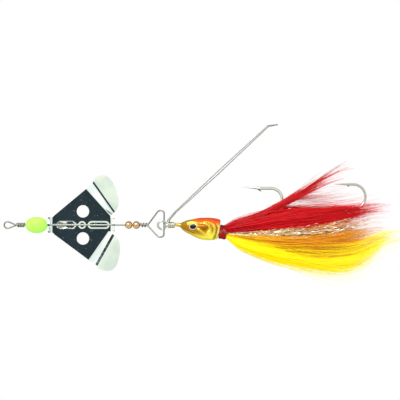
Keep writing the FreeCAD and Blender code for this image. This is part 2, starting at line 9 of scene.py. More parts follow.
import bpy
import numpy as np
from mathutils import Matrix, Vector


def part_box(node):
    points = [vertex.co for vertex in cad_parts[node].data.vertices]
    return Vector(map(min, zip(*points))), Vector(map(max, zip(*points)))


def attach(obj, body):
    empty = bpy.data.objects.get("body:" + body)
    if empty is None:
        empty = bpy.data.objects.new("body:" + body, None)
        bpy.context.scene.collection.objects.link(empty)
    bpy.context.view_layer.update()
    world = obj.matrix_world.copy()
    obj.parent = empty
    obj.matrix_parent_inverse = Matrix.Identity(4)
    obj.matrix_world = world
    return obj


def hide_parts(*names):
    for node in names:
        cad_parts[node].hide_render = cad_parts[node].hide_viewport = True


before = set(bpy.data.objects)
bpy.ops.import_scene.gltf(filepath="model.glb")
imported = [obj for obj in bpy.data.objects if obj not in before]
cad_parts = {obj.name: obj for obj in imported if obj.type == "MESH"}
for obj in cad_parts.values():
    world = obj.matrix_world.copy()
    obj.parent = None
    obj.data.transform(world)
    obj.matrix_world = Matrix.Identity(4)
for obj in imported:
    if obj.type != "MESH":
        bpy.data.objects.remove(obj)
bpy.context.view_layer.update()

# %% [markdown]
# ## Lure coordinates
# A lure maker thinks along the shaft: how far behind the eye, how far towards the hook
# points, how far out of the side. The frame hangs, so those three run down, to +X and to
# -Y. One small function turns maker's millimetres into metres in the frame, for whole
# arrays at once, and another reads a CAD node's box in the same maker's millimetres.


# %% From maker's millimetres to the frame
def hang(x, y, z):
    """(x behind the eye, y to the points, z out of the side) in mm -> (y, -z, -x) in m."""
    return np.stack([np.asarray(y, float), -np.asarray(z, float), -np.asarray(x, float)], -1) / 1000.0


def span(node):
    """A node's box as ((x0, x1), (y0, y1), (z0, z1)) in maker's millimetres."""
    lo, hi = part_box(node)
    lo, hi = np.array(lo) * 1000, np.array(hi) * 1000
    return (-hi[2], -lo[2]), (lo[0], hi[0]), (-hi[1], -lo[1])


head_x, _, _ = span("jig_head")
collar_x, collar_y, _ = span("thread_collar")
print("head runs from", round(head_x[0], 1), "to", round(head_x[1], 1), "mm behind the eye")

# %% [markdown]
# ## Camera
# The lure is seen square from its side, from far away, so that hardly any perspective
# shows: a long lens does that. The camera is rolled a quarter turn so the hanging lure
# lies across the picture with its eye on the left.

# %% Camera with a long lens
middle_down, middle_out = 101.97, 13.25
camera_distance, picture_width, sensor_mm = 1.0, 0.212, 36.0
camera_data = bpy.data.cameras.new("camera")
camera_data.sensor_width = sensor_mm
camera_data.lens = sensor_mm * camera_distance / picture_width
camera = bpy.data.objects.new("camera", camera_data)
bpy.context.scene.collection.objects.link(camera)
place = np.eye(4)
place[:3, 0] = (0, 0, -1)
place[:3, 1] = (1, 0, 0)
place[:3, 2] = (0, -1, 0)
place[:3, 3] = hang(middle_down, middle_out, camera_distance * 1000)
camera.matrix_world = Matrix(place.tolist())
bpy.context.scene.camera = camera
bpy.context.scene.view_settings.view_transform = "Standard"
print("lens", round(camera_data.lens, 1), "mm")

# %% [markdown]
# ## Light
# Small tackle is shot in a white tent. Polished metal then shows only what surrounds it:
# the flat plate looks straight back at the dark camera side, and everything bent shows
# the white walls. A sky whose colour depends on the direction gives that with no fittings:
# dark in a cone on the camera's side, bright all round, and dark again behind the lure,
# which draws the dark edges of round wire.


# %% Colour ramps
def ramp_node(tree, stops):
    """A colour ramp through (place from 0 to 1, colour) stops."""
    node = tree.nodes.new("ShaderNodeValToRGB")
    elements = node.color_ramp.elements
    while len(elements) < len(stops):
        elements.new(0.5)
    for element, (at, colour) in zip(elements, stops):
        element.position = at
        element.color = (*colour, 1)
    return node


# %% A tent made of sky
world = bpy.data.worlds.new("white tent")
bpy.context.scene.world = world
world.use_nodes = True
tree = world.node_tree
tree.nodes.clear()
direction = tree.nodes.new("ShaderNodeTexCoord")
towards = tree.nodes.new("ShaderNodeVectorMath")
towards.operation = "DOT_PRODUCT"
towards.inputs[1].default_value = (0, -1, 0)
tree.links.new(direction.outputs["Generated"], towards.inputs[0])
angle = tree.nodes.new("ShaderNodeMath")
angle.operation = "ARCCOSINE"
tree.links.new(towards.outputs["Value"], angle.inputs[0])
share = tree.nodes.new("ShaderNodeMath")
share.operation = "DIVIDE"
share.inputs[1].default_value = math.pi
tree.links.new(angle.outputs[0], share.inputs[0])
tent = ramp_node(tree, (
    (0.0, (0.026, 0.042, 0.050)), (0.064, (0.032, 0.050, 0.060)), (0.088, (0.62, 0.70, 0.66)),
    (0.115, (1.05, 1.08, 1.02)), (0.28, (0.92, 0.98, 0.84)), (0.36, (0.84, 0.95, 0.80)),
    (0.42, (1.12, 1.14, 1.10)), (0.54, (1.12, 1.12, 1.10)), (0.61, (0.16, 0.17, 0.14)),
    (0.86, (0.09, 0.10, 0.08)), (1.0, (0.45, 0.45, 0.42)),
))
tree.links.new(share.outputs[0], tent.inputs[0])
sky = tree.nodes.new("ShaderNodeBackground")
paper = tree.nodes.new("ShaderNodeBackground")
paper.inputs["Color"].default_value = (1, 1, 1, 1)
seen = tree.nodes.new("ShaderNodeLightPath")
mix = tree.nodes.new("ShaderNodeMixShader")
out = tree.nodes.new("ShaderNodeOutputWorld")
tree.links.new(tent.outputs["Color"], sky.inputs["Color"])
tree.links.new(seen.outputs["Is Camera Ray"], mix.inputs[0])
tree.links.new(sky.outputs[0], mix.inputs[1])
tree.links.new(paper.outputs[0], mix.inputs[2])
tree.links.new(mix.outputs[0], out.inputs[0])
print("tent has", len(tent.color_ramp.elements), "bands")


# %% A window
def soft_lamp(name, at, size, watts):
    """A square lamp at a place in maker's mm, pointed at the lure's middle."""
    data = bpy.data.lights.new(name, "AREA")
    data.size, data.energy = size, watts
    lamp = bpy.data.objects.new(name, data)
    bpy.context.scene.collection.objects.link(lamp)
    spot = hang(*at)
    aim = hang(middle_down, 0, 0) - spot
    back = -aim / np.linalg.norm(aim)
    side = np.cross((0, 0, 1.0), back)
    side /= np.linalg.norm(side)
    turn = np.eye(4)
    turn[:3, 0], turn[:3, 1], turn[:3, 2], turn[:3, 3] = side, np.cross(back, side), back, spot
    lamp.matrix_world = Matrix(turn.tolist())
    print(name, "lamp,", watts, "W")


soft_lamp("window", (-150, 520, 620), 0.45, 5.0)

# %% [markdown]
# ## Building blocks for materials
# Every finish here is a Principled shader with a few nodes in front of it. The helpers
# make one, and the shared effects, fine specks and long hairline scratches, are node
# groups: built once and placed in each material with its own strength.


# %% Material helpers and shared effects
def principled(name, colour, metallic=0.0, roughness=0.4, **sockets):
    """A material with one Principled shader; returns (material, tree, shader)."""
    material = bpy.data.materials.new(name)
    material.use_nodes = True
    tree = material.node_tree
    shader = tree.nodes["Principled BSDF"]
    shader.inputs["Base Color"].default_value = (*colour, 1)
    shader.inputs["Metallic"].default_value = metallic
    shader.inputs["Roughness"].default_value = roughness
    for socket, value in sockets.items():
        shader.inputs[socket.replace("_", " ")].default_value = value
    return material, tree, shader


def new_group(name, inputs, outputs):
    """An empty node group with named sockets: (name, type, default)."""
    group = bpy.data.node_groups.new(name, "ShaderNodeTree")
    for label, kind, default in inputs:
        socket = group.interface.new_socket(label, in_out="INPUT", socket_type=kind)
        if default is not None:
            socket.default_value = default
    for label, kind in outputs:
        group.interface.new_socket(label, in_out="OUTPUT", socket_type=kind)
    return group, group.nodes.new("NodeGroupInput"), group.nodes.new("NodeGroupOutput")


def specks_group():
    """Value noise in object space, stretched to a mask between two thresholds."""
    group, into, outof = new_group(
        "specks", [("Scale", "NodeSocketFloat", 900.0), ("Amount", "NodeSocketFloat", 0.5),
                   ("From", "NodeSocketFloat", 0.42), ("To", "NodeSocketFloat", 0.68)],
        [("Mask", "NodeSocketFloat"), ("Height", "NodeSocketFloat")])
    where = group.nodes.new("ShaderNodeTexCoord")
    noise = group.nodes.new("ShaderNodeTexNoise")
    noise.inputs["Detail"].default_value = 4.0
    group.links.new(where.outputs["Object"], noise.inputs["Vector"])
    group.links.new(into.outputs["Scale"], noise.inputs["Scale"])
    stretch = group.nodes.new("ShaderNodeMapRange")
    group.links.new(into.outputs["From"], stretch.inputs["From Min"])
    group.links.new(into.outputs["To"], stretch.inputs["From Max"])
    group.links.new(noise.outputs["Fac"], stretch.inputs["Value"])
    group.links.new(into.outputs["Amount"], stretch.inputs["To Max"])
    group.links.new(stretch.outputs["Result"], outof.inputs["Mask"])
    group.links.new(noise.outputs["Fac"], outof.inputs["Height"])
    return group


def hairlines_group():
    """Noise squeezed along the shaft, so its grains become long fine scratches."""
    group, into, outof = new_group(
        "hairlines", [("Scale", "NodeSocketFloat", 400.0), ("Amount", "NodeSocketFloat", 0.3)],
        [("Mask", "NodeSocketFloat"), ("Height", "NodeSocketFloat")])
    where = group.nodes.new("ShaderNodeTexCoord")
    squeeze = group.nodes.new("ShaderNodeMapping")
    squeeze.inputs["Scale"].default_value = (1.0, 1.0, 0.06)
    noise = group.nodes.new("ShaderNodeTexNoise")
    noise.inputs["Detail"].default_value = 3.0
    group.links.new(where.outputs["Object"], squeeze.inputs["Vector"])
    group.links.new(squeeze.outputs["Vector"], noise.inputs["Vector"])
    group.links.new(into.outputs["Scale"], noise.inputs["Scale"])
    stretch = group.nodes.new("ShaderNodeMapRange")
    stretch.inputs["From Min"].default_value = 0.5
    stretch.inputs["From Max"].default_value = 0.75
    group.links.new(noise.outputs["Fac"], stretch.inputs["Value"])
    group.links.new(into.outputs["Amount"], stretch.inputs["To Max"])
    group.links.new(stretch.outputs["Result"], outof.inputs["Mask"])
    group.links.new(noise.outputs["Fac"], outof.inputs["Height"])
    return group


specks = specks_group()
hairlines = hairlines_group()


def place_group(tree, group, **values):
    """A group node in a material's tree, with its own values."""
    node = tree.nodes.new("ShaderNodeGroup")
    node.node_tree = group
    for label, value in values.items():
        node.inputs[label].default_value = value
    return node


def attribute_node(tree, label):
    """Reads a value or a colour that a piece's points carry."""
    node = tree.nodes.new("ShaderNodeAttribute")
    node.attribute_name = label
    return node


def mottle(tree, shader, node, colour_a, colour_b):
    """Base colour = a blend of two colours by a group's mask."""
    blend = tree.nodes.new("ShaderNodeMix")
    blend.data_type = "RGBA"
    blend.inputs["A"].default_value = (*colour_a, 1)
    blend.inputs["B"].default_value = (*colour_b, 1)
    tree.links.new(node.outputs["Mask"], blend.inputs["Factor"])
    tree.links.new(blend.outputs["Result"], shader.inputs["Base Color"])


def roughen(tree, shader, node, smooth, rough):
    """Roughness runs between two values with a group's mask."""
    between = tree.nodes.new("ShaderNodeMapRange")
    between.inputs["To Min"].default_value = smooth
    between.inputs["To Max"].default_value = rough
    tree.links.new(node.outputs["Mask"], between.inputs["Value"])
    tree.links.new(between.outputs["Result"], shader.inputs["Roughness"])


def emboss(tree, shader, node, depth_mm, strength=1.0):
    """A bump of the group's height, its depth in mm."""
    bump = tree.nodes.new("ShaderNodeBump")
    bump.inputs["Strength"].default_value = strength
    bump.inputs["Distance"].default_value = depth_mm / 1000.0
    tree.links.new(node.outputs["Height"], bump.inputs["Height"])
    tree.links.new(bump.outputs["Normal"], shader.inputs["Normal"])


def dusty(tree, shader, node):
    """Dust and dull flecks on bare metal: where the mask is high the surface is no mirror."""
    less = tree.nodes.new("ShaderNodeMapRange")
    less.inputs["To Min"].default_value = 1.0
    less.inputs["To Max"].default_value = 0.0
    tree.links.new(node.outputs["Mask"], less.inputs["Value"])
    tree.links.new(less.outputs["Result"], shader.inputs["Metallic"])


def finish_node(node, material):
    """Gives a CAD node a material in every slot it has."""
    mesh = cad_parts[node].data
    if not mesh.materials:
        mesh.materials.append(material)
    for i in range(len(mesh.materials)):
        mesh.materials[i] = material


# %% [markdown]
# ## Floor
# The studio sheet is matt card: nearly white, never quite even, with a faint tooth that
# keeps the shadow soft. It is a round sheet well below the lure, and only scenery.

# %% Floor sheet and its card
floor_reach, floor_down, floor_sides = 0.40, -0.70, 96
floor_mesh = bpy.data.meshes.new("floor")
floor_turn = np.linspace(0, 2 * np.pi, floor_sides, endpoint=False)
floor_rim = np.stack([floor_reach * np.cos(floor_turn), floor_reach * np.sin(floor_turn),
                      np.full(floor_sides, floor_down)], -1)
floor_mesh.from_pydata(floor_rim.tolist(), [], [list(range(floor_sides))])
floor = bpy.data.objects.new("floor", floor_mesh)
bpy.context.scene.collection.objects.link(floor)

card, tree, shader = principled("matt white card", (0.94, 0.94, 0.94), 0.0, 0.9)
fibres = place_group(tree, specks, Scale=60.0, Amount=0.6)
mottle(tree, shader, fibres, (0.95, 0.95, 0.95), (0.91, 0.91, 0.90))
floor_mesh.materials.append(card)
print("floor is", round(2000 * floor_reach), "mm of card,", round(-floor_down * 1000),
      "mm below the eye")

# %% [markdown]
# ## Bare sheet
# Nickelled sheet is a mirror with faint polishing lines and a little waviness, which is
# what tells the eye it is thin stamped metal. A few flecks of dust break the mirror.

# %% Nickelled sheet
nickel, tree, shader = principled("nickel sheet", (0.93, 0.95, 0.95), 1.0, 0.05)
lines = place_group(tree, hairlines, Scale=260.0, Amount=0.5)
roughen(tree, shader, lines, 0.03, 0.13)
dust = place_group(tree, specks, Scale=1100.0, Amount=0.35, From=0.66, To=0.74)
dusty(tree, shader, dust)
waves = place_group(tree, specks, Scale=85.0, Amount=1.0, From=0.40, To=0.60)
mottle(tree, shader, waves, (0.98, 0.98, 0.97), (0.78, 0.84, 0.86))
emboss(tree, shader, waves, 0.22, 1.0)
finish_node("spinner_blade", nickel)
print("blade is", nickel.name)

# %% [markdown]
# ## Wire, hooks and brass
# Spring wire is drawn through a die, so it has fine lines along it and a grey lustre. The
# hooks are nickelled and brighter, and the little coil is bright wire. The bearing beads
# are turned brass, polished in a barrel, which leaves tiny dark pits.

# %% Wire, hooks and brass
spring, tree, shader = principled("spring wire", (0.30, 0.30, 0.27), 1.0, 0.40)
lines = place_group(tree, hairlines, Scale=1800.0, Amount=0.5)
mottle(tree, shader, lines, (0.31, 0.31, 0.28), (0.24, 0.24, 0.22))
for node in ("main_wire", "weedguard_arm"):
    finish_node(node, spring)

coil_wire, tree, shader = principled("bright coil wire", (0.62, 0.61, 0.54), 1.0, 0.32)
lines = place_group(tree, hairlines, Scale=1800.0, Amount=0.5)
mottle(tree, shader, lines, (0.66, 0.65, 0.58), (0.50, 0.50, 0.44))
finish_node("weedguard_coil", coil_wire)

hook_metal, tree, shader = principled("nickelled hook wire", (0.72, 0.72, 0.67), 1.0, 0.16)
grains = place_group(tree, specks, Scale=1400.0, Amount=0.6)
mottle(tree, shader, grains, (0.76, 0.76, 0.70), (0.62, 0.62, 0.57))
roughen(tree, shader, grains, 0.10, 0.20)
for node in ("jig_hook", "trailer_hook"):
    finish_node(node, hook_metal)

brass, tree, shader = principled("polished brass", (0.80, 0.47, 0.21), 1.0, 0.10)
pits = place_group(tree, specks, Scale=1600.0, Amount=0.7)
mottle(tree, shader, pits, (0.80, 0.49, 0.24), (0.36, 0.15, 0.05))
roughen(tree, shader, pits, 0.07, 0.22)
for node in ("brass_bead_front", "brass_bead_rear"):
    finish_node(node, brass)
print("beads", tuple(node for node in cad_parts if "brass" in node), "are brass")

# %% [markdown]
# ## The fluorescent bead
# Day-glow plastic sends back more green than falls on it, so it looks flat and brighter
# than its surroundings. A little emission of its own colour does that; a dull shine and
# faint moulding marks keep it from looking painted on.

# %% Fluorescent plastic
glow = (0.42, 0.93, 0.10)
fluorescent, tree, shader = principled(
    "fluorescent plastic", glow, 0.0, 0.40, Specular_IOR_Level=0.25)
shader.inputs["Emission Strength"].default_value = 0.24
shader.inputs["Emission Color"].default_value = (0.42, 1.0, 0.16, 1)
clouds = place_group(tree, specks, Scale=300.0, Amount=0.8)
mottle(tree, shader, clouds, glow, (0.32, 0.84, 0.06))
emboss(tree, shader, clouds, 0.02, 0.4)
finish_node("green_bead", fluorescent)
print("bead is", fluorescent.name)

# %% [markdown]
# ## Surfaces on a grid
# A new piece is a grid of points: one parameter runs along it, the other round it. The
# helper turns such an array into a mesh, closes it round, and closes each end with a fan.
# Numbers worked out for each point, such as a mask of paint and painted light, are stored
# as attributes so that the material can read them.


# %% Grid to mesh
def faces_of_grid(rows, columns):
    """Quads (i, j) (i+1, j) (i+1, j+1) (i, j+1) of a grid, where j wraps round."""
    i, j = np.meshgrid(np.arange(rows - 1), np.arange(columns), indexing="ij")
    after = (j + 1) % columns
    here, below = i * columns, (i + 1) * columns
    quads = np.stack([here + j, below + j, below + after, here + after], -1)
    return quads.reshape(-1, 4)


def capped(grid):
    """Points and faces of a closed-round grid whose two ends are fans to each ring's middle."""
    rows, columns, _ = grid.shape
    points = np.concatenate([grid.reshape(-1, 3), grid[0].mean(0)[None], grid[-1].mean(0)[None]])
    ring, last = np.arange(columns), (rows - 1) * columns
    after = (ring + 1) % columns
    first_fan = np.stack([ring, after, np.full(columns, rows * columns)], -1)
    last_fan = np.stack([last + after, last + ring, np.full(columns, rows * columns + 1)], -1)
    sides = faces_of_grid(rows, columns)
    return points, sides.tolist() + first_fan.tolist() + last_fan.tolist()


def with_ends(values):
    """A value for every point of a capped grid: the end points take their ring's first value."""
    flat = values.reshape(values.shape[0] * values.shape[1], *values.shape[2:])
    return np.concatenate([flat, values[0, :1], values[-1, :1]])


def make_piece(name, points, faces, material, body, nodes, attributes, smooth=True):
    """Points (n, 3) in metres and a list of faces become an object that rides on a body,
    stands in for CAD nodes and carries values for each point."""
    mesh = bpy.data.meshes.new(name)
    mesh.from_pydata(points.tolist(), [], faces)
    mesh.materials.append(material)
    for label, values in attributes.items():
        values = np.asarray(values, dtype=np.float32)
        if values.ndim == 1:
            mesh.attributes.new(label, "FLOAT", "POINT").data.foreach_set("value", values)
        else:
            rgba = np.concatenate([values, np.ones((len(values), 1), np.float32)], 1)
            colours = mesh.attributes.new(label, "FLOAT_COLOR", "POINT")
            colours.data.foreach_set("color", rgba.ravel())
    mesh.update()
    if smooth:
        mesh.shade_smooth()
    piece = bpy.data.objects.new(name, mesh)
    bpy.context.scene.collection.objects.link(piece)
    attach(piece, body)
    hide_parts(*nodes)
    print("%-16s %7d faces" % (name, len(mesh.polygons)))


def smooth_curve(stations, values, at):
    """Piecewise cubic (Catmull-Rom slopes) through the stations, for a whole array."""
    stations, values = np.asarray(stations, float), np.asarray(values, float)
    slopes = np.gradient(values, stations, axis=0)
    at = np.clip(at, stations[0], stations[-1])
    k = np.clip(np.searchsorted(stations, at) - 1, 0, len(stations) - 2)
    width = stations[k + 1] - stations[k]
    t = (at - stations[k]) / width
    a, b = values[k], values[k + 1]
    ma, mb = slopes[k] * width, slopes[k + 1] * width
    return ((2 * t**3 - 3 * t**2 + 1) * a + (t**3 - 2 * t**2 + t) * ma
            + (-2 * t**3 + 3 * t**2) * b + (t**3 - t**2) * mb)


def table_curve(table, column, at):
    """One column of a table of sections, read smoothly at any distance along it."""
    return smooth_curve(table[:, 0], table[:, column], at)


# %% [markdown]
# ## The fish head
# The lead head is cast with eye sockets, a mouth line and gill plates, then gold plated
# and sprayed orange on the back and yellow underneath. Its form is a row of ovals along
# the axis; the relief is a set of ridges and grooves that push the surface out or in by
# their distance from lines drawn on the fish's side. Paint masks come from the same side
# view and ride on the mesh as colours, together with painted light: painted shade in the
# grooves and in patches at the nose and under the eye, a painted dark reflection behind
# the eye, and painted highlights on the ridges and the cheek.

# %% Form, relief, paint and painted light of the head
sleeve_long = 6.75
nose = head_x[0] + sleeve_long
# behind the nose, middle, half height, half width
head_rows = np.array((
    (-sleeve_long, 0.0, 1.05, 1.05), (-0.6, 0.0, 1.05, 1.05), (0.0, -0.2, 1.2, 1.15),
    (1.4, -0.62, 2.25, 1.95), (3.3, -0.85, 3.25, 2.75), (6.1, -1.3, 4.3, 3.55),
    (9.2, -1.7, 5.35, 4.2), (12.8, -2.03, 5.9, 4.6), (16.3, -2.1, 5.9, 4.6),
    (19.4, -2.1, 5.4, 4.3), (23.2, -2.4, 4.5, 3.8)))
rear_x, rear_y, rear_lean = 20.45, -2.2, math.radians(8.6)
# height of the ridge in mm (below zero: a groove), its breadth, and the line it follows
relief_lines = (
    (0.34, 0.55, ((12.4, 1.9), (14.9, 1.6), (17.2, 0.5), (18.2, -1.8), (17.5, -4.6), (16.2, -7.6))),
    (0.22, 0.45, ((9.4, 1.0), (12.6, 0.9), (15.0, -0.3), (15.9, -2.4), (15.2, -4.8), (13.4, -6.9))),
    (0.26, 0.50, ((7.6, -1.4), (10.0, -2.6), (13.6, -4.9), (15.0, -3.4))),
    (-0.17, 0.28, ((0.6, -1.3), (3.6, -2.7), (7.2, -4.4))),
    (0.20, 0.50, ((3.4, 1.3), (6.4, 1.9), (9.2, 1.0))),
    (-0.18, 0.50, ((16.2, 2.4), (18.6, 1.0), (19.4, -1.8), (18.7, -4.8), (17.4, -7.6))),
)
print("relief along", len(relief_lines), "lines")


def polyline_distance(x, y, points):
    """Distance of every (x, y) to a polyline: the least over its straight parts."""
    best = np.full(np.shape(x), 1e9)
    for (ax, ay), (bx, by) in zip(points[:-1], points[1:]):
        dx, dy = bx - ax, by - ay
        t = np.clip(((x - ax) * dx + (y - ay) * dy) / (dx * dx + dy * dy), 0, 1)
        best = np.minimum(best, np.hypot(x - ax - t * dx, y - ay - t * dy))
    return best


def head_surface():
    """Ovals (x, c + h cos a, w sin a), cut by the leaning rear face, with relief added."""
    along = np.concatenate([np.linspace(0, 0.22, 14), np.linspace(0.235, 1.0, 118)])
    round_ = np.linspace(0, 2 * np.pi, 128, endpoint=False)
    s, a = np.meshgrid(along, round_, indexing="ij")
    start = head_rows[0, 0]
    x = start + s * (rear_x - start)
    for _ in range(3):
        y = table_curve(head_rows, 1, x) + table_curve(head_rows, 2, x) * np.cos(a)
        x = start + s * (rear_x + (y - rear_y) * math.tan(rear_lean) - start)
    mid, high, wide = (table_curve(head_rows, column, x) for column in (1, 2, 3))
    # the rear rim is rounded over the last part of a millimetre
    rim = np.clip((s - 0.965) / 0.035, 0, 1)
    shrink = 1 - 0.10 * rim**2
    high, wide = high * shrink, wide * shrink
    y, z = mid + high * np.cos(a), wide * np.sin(a)
    side = np.clip(np.abs(np.sin(a)) * 1.4, 0, 1)
    lift = np.zeros_like(x)
    for amount, breadth, line in relief_lines:
        lift += amount * np.exp(-(polyline_distance(x, y, line) / breadth) ** 2)
    at_eye = np.hypot((x - 6.6) / 2.9, (y + 0.8) / 2.3)
    lift *= 1.25 * side * np.clip((x - 0.3) / 1.5, 0, 1) * (1 - rim) * (1 - np.exp(-(at_eye**6)))
    length = np.hypot(np.cos(a) / high, np.sin(a) / wide)
    y = y + lift * np.cos(a) / high / length
    z = z + lift * np.sin(a) / wide / length
    return x, y, z, lift


x, y, z, lift = head_surface()
back_line = smooth_curve((0, 5.1, 10, 14.25, 17.3, 18.9, 21),
                         (3.4, 2.65, 1.5, 1.65, 0.85, -0.1, 0.9), x)
back = 1 / (1 + np.exp(-(y - back_line) / 0.28))
belly_line = smooth_curve((0, 4, 8, 12, 16, 21), (-2.6, -4.0, -5.3, -5.6, -5.0, -4.4), x)
belly = 1 / (1 + np.exp((y - belly_line) / 0.6))


def patch(cx, cy, rx, ry):
    """A soft oval spot of colour, for paint and for painted light: exp(-d^4), with d the
    distance in its own radii.
    """
    return np.exp(-(((x - cx) / rx) ** 2 + ((y - cy) / ry) ** 2) ** 2)


def moved_towards(base, colour, amount):
    """Base colour moved to another colour by an amount for each point."""
    return base * (1 - amount[..., None]) + np.array(colour) * amount[..., None]


# masks for painted shade in the grooves and a painted highlight on the ridges
groove, bright = np.clip(-lift / 0.2, 0, 1), np.clip(lift / 0.3, 0, 1)
paint_and_light = np.ones((*x.shape, 3)) * np.array((0.50, 0.245, 0.004))
paint_and_light_layers = (
    # painted shade at the nose and under the eye, and a painted dark reflection behind the eye
    ((0.30, 0.125, 0.002), patch(3.0, -1.0, 4.2, 2.4) * 0.75),
    ((0.34, 0.145, 0.002), patch(7.6, -3.6, 4.4, 1.5) * 0.85),
    ((0.38, 0.12, 0.004), patch(12.0, -0.8, 3.4, 1.9) * 0.95),
    # a painted highlight on the cheek, then a bright yellow band at the rear rim
    ((0.97, 0.84, 0.08), patch(15.0, -4.2, 1.2, 2.4) * 0.9),
    ((0.98, 0.84, 0.12), patch(20.2, -3.4, 1.0, 3.8)),
    ((0.99, 0.86, 0.05), 0.97 * belly),
    # painted highlight on the ridges, then painted shade in the grooves
    ((0.90, 0.66, 0.09), 0.7 * bright),
    ((0.22, 0.085, 0.004), 0.85 * groove),
    ((0.20, 0.26, 0.01), patch(18.2, -6.2, 0.9, 0.8) * 0.8),
    ((0.74, 0.100, 0.005), back),
    ((0.58, 0.035, 0.003), back * np.clip((y - back_line - 0.6) / 1.4, 0, 1) * 0.8),
    ((0.60, 0.38, 0.06), np.clip((0.2 - x) / 0.6, 0, 1)),
)
for colour, amount in paint_and_light_layers:
    paint_and_light = moved_towards(paint_and_light, colour, amount)
print("head painted with", len(paint_and_light_layers), "sprays over gold")

head_points, head_faces = capped(hang(nose + x, y, z))
plated_amount = 0.62 - 0.55 * back - 0.48 * belly * (1 - back)

head_material, tree, shader = principled(
    "painted head", (0.56, 0.30, 0.012), 0.6, 0.24, Specular_IOR_Level=0.15, Coat_Weight=0.22,
    Coat_Roughness=0.05)
reader = attribute_node(tree, "paint_and_light")
plated = attribute_node(tree, "plated")
tree.links.new(plated.outputs["Fac"], shader.inputs["Metallic"])
scales = tree.nodes.new("ShaderNodeTexVoronoi")
scales.inputs["Scale"].default_value = 1050.0
where = tree.nodes.new("ShaderNodeTexCoord")
tree.links.new(where.outputs["Object"], scales.inputs["Vector"])
flake = tree.nodes.new("ShaderNodeMapRange")
flake.inputs["To Min"].default_value = 0.84
flake.inputs["To Max"].default_value = 1.08
tree.links.new(scales.outputs["Distance"], flake.inputs["Value"])
tint = tree.nodes.new("ShaderNodeMix")
tint.data_type = "RGBA"
tint.blend_type = "MULTIPLY"
tint.inputs["Factor"].default_value = 1.0
tree.links.new(reader.outputs["Color"], tint.inputs["A"])
tree.links.new(flake.outputs["Result"], tint.inputs["B"])
tree.links.new(tint.outputs["Result"], shader.inputs["Base Color"])
# Painted light: the head glows a little in its own colours, which lifts the downward-facing yellow
# belly out of its shade.
tree.links.new(tint.outputs["Result"], shader.inputs["Emission Color"])
shader.inputs["Emission Strength"].default_value = 0.12
scale_bump = tree.nodes.new("ShaderNodeBump")
scale_bump.inputs["Strength"].default_value = 0.10
scale_bump.inputs["Distance"].default_value = 0.00006
tree.links.new(scales.outputs["Distance"], scale_bump.inputs["Height"])
tree.links.new(scale_bump.outputs["Normal"], shader.inputs["Normal"])
make_piece("painted_head", head_points, head_faces, head_material, "jig", ("jig_head",),
           {"paint_and_light": with_ends(paint_and_light), "plated": with_ends(plated_amount)})

# %% [markdown]
# ## Stick-on eyes
# Each eye is a pale foil disc with a black pupil under a domed clear lens. The CAD patch
# already has the dome; rings of colour come from the distance to its centre, with the
# long axis squeezed so the rings follow the oval.

# %% Eyes
eye_x, eye_y, _ = span("near_eye")
eye_tilt, eye_half_high, eye_half_long, ignore_depth = math.radians(-8.6), 0.0018, 0.0024, 1000.0
eye_material, tree, shader = principled(
    "lens eye", (0.8, 0.75, 0.6), 0.0, 0.2, Specular_IOR_Level=0.1, Coat_Weight=0.25,
    Coat_Roughness=0.02)
where = tree.nodes.new("ShaderNodeTexCoord")
centre = tree.nodes.new("ShaderNodeMapping")
centre.vector_type = "TEXTURE"
eye_centre = hang(sum(eye_x) / 2, sum(eye_y) / 2, 0)
centre.inputs["Location"].default_value = tuple(eye_centre)
centre.inputs["Rotation"].default_value = (0, eye_tilt, 0)
centre.inputs["Scale"].default_value = (eye_half_high, ignore_depth, eye_half_long)
tree.links.new(where.outputs["Object"], centre.inputs["Vector"])
radius = tree.nodes.new("ShaderNodeVectorMath")
radius.operation = "LENGTH"
tree.links.new(centre.outputs["Vector"], radius.inputs[0])
rings = ramp_node(tree, (
    (0.0, (0.004, 0.004, 0.006)), (0.66, (0.005, 0.005, 0.008)), (0.75, (0.52, 0.43, 0.25)),
    (0.87, (0.66, 0.55, 0.32)), (0.96, (0.26, 0.14, 0.03)),
))
tree.links.new(radius.outputs["Value"], rings.inputs[0])
tree.links.new(rings.outputs["Color"], shader.inputs["Base Color"])
finish_node("near_eye", eye_material)
finish_node("far_eye", eye_material)
print("eye centre", [round(float(v) * 1000, 1) for v in eye_centre])

# %% [markdown]
# ## Thread collar
# The hair is tied on with waxed thread, turn beside turn, then varnished. One surface of
# revolution does it: its radius has a low hump for every turn, and the humps creep along
# the axis as they go round, so they form one continuous winding. A second, lower layer of
# turns crosses over the first and makes the collar uneven.


# %% Wound thread
def wound_collar():
    """r = barrel + hump * |cos(pi (x / pitch + a / 2 pi))|, round a leaning axis."""
    run, turn = np.linspace(0, 1, 150), np.linspace(0, 2 * np.pi, 72, endpoint=False)
    t, a = np.meshgrid(run, turn, indexing="ij")
    long, pitch, cross_pitch, set_in, set_up = 4.2, 0.34, 0.9, 0.62, 0.25
    barrel = 3.28 + 0.42 * np.sin(np.pi * t) ** 0.7 + 0.13 * np.sin(2 * np.pi * t * 1.5 + 0.6)
    cord = 0.10 * np.abs(np.cos(np.pi * (t * long / pitch + a / (2 * np.pi))))
    cross = 0.05 * np.abs(np.cos(np.pi * (t * long / cross_pitch - 3 * a / (2 * np.pi))))
    closing = np.where(t < 0.02, t / 0.02, 1) * np.where(t > 0.97, (1 - t) / 0.03, 1)
    r = (barrel + cord + cross) * closing
    axis = t * long
    cx, cy = collar_x[0] + set_in, (collar_y[0] + collar_y[1]) / 2 + set_up
    up = r * np.cos(a)
    x = cx + axis * math.cos(rear_lean) + up * math.sin(rear_lean)
    y = cy - axis * math.sin(rear_lean) + up * math.cos(rear_lean)
    return hang(x, y, r * np.sin(a)), t, a


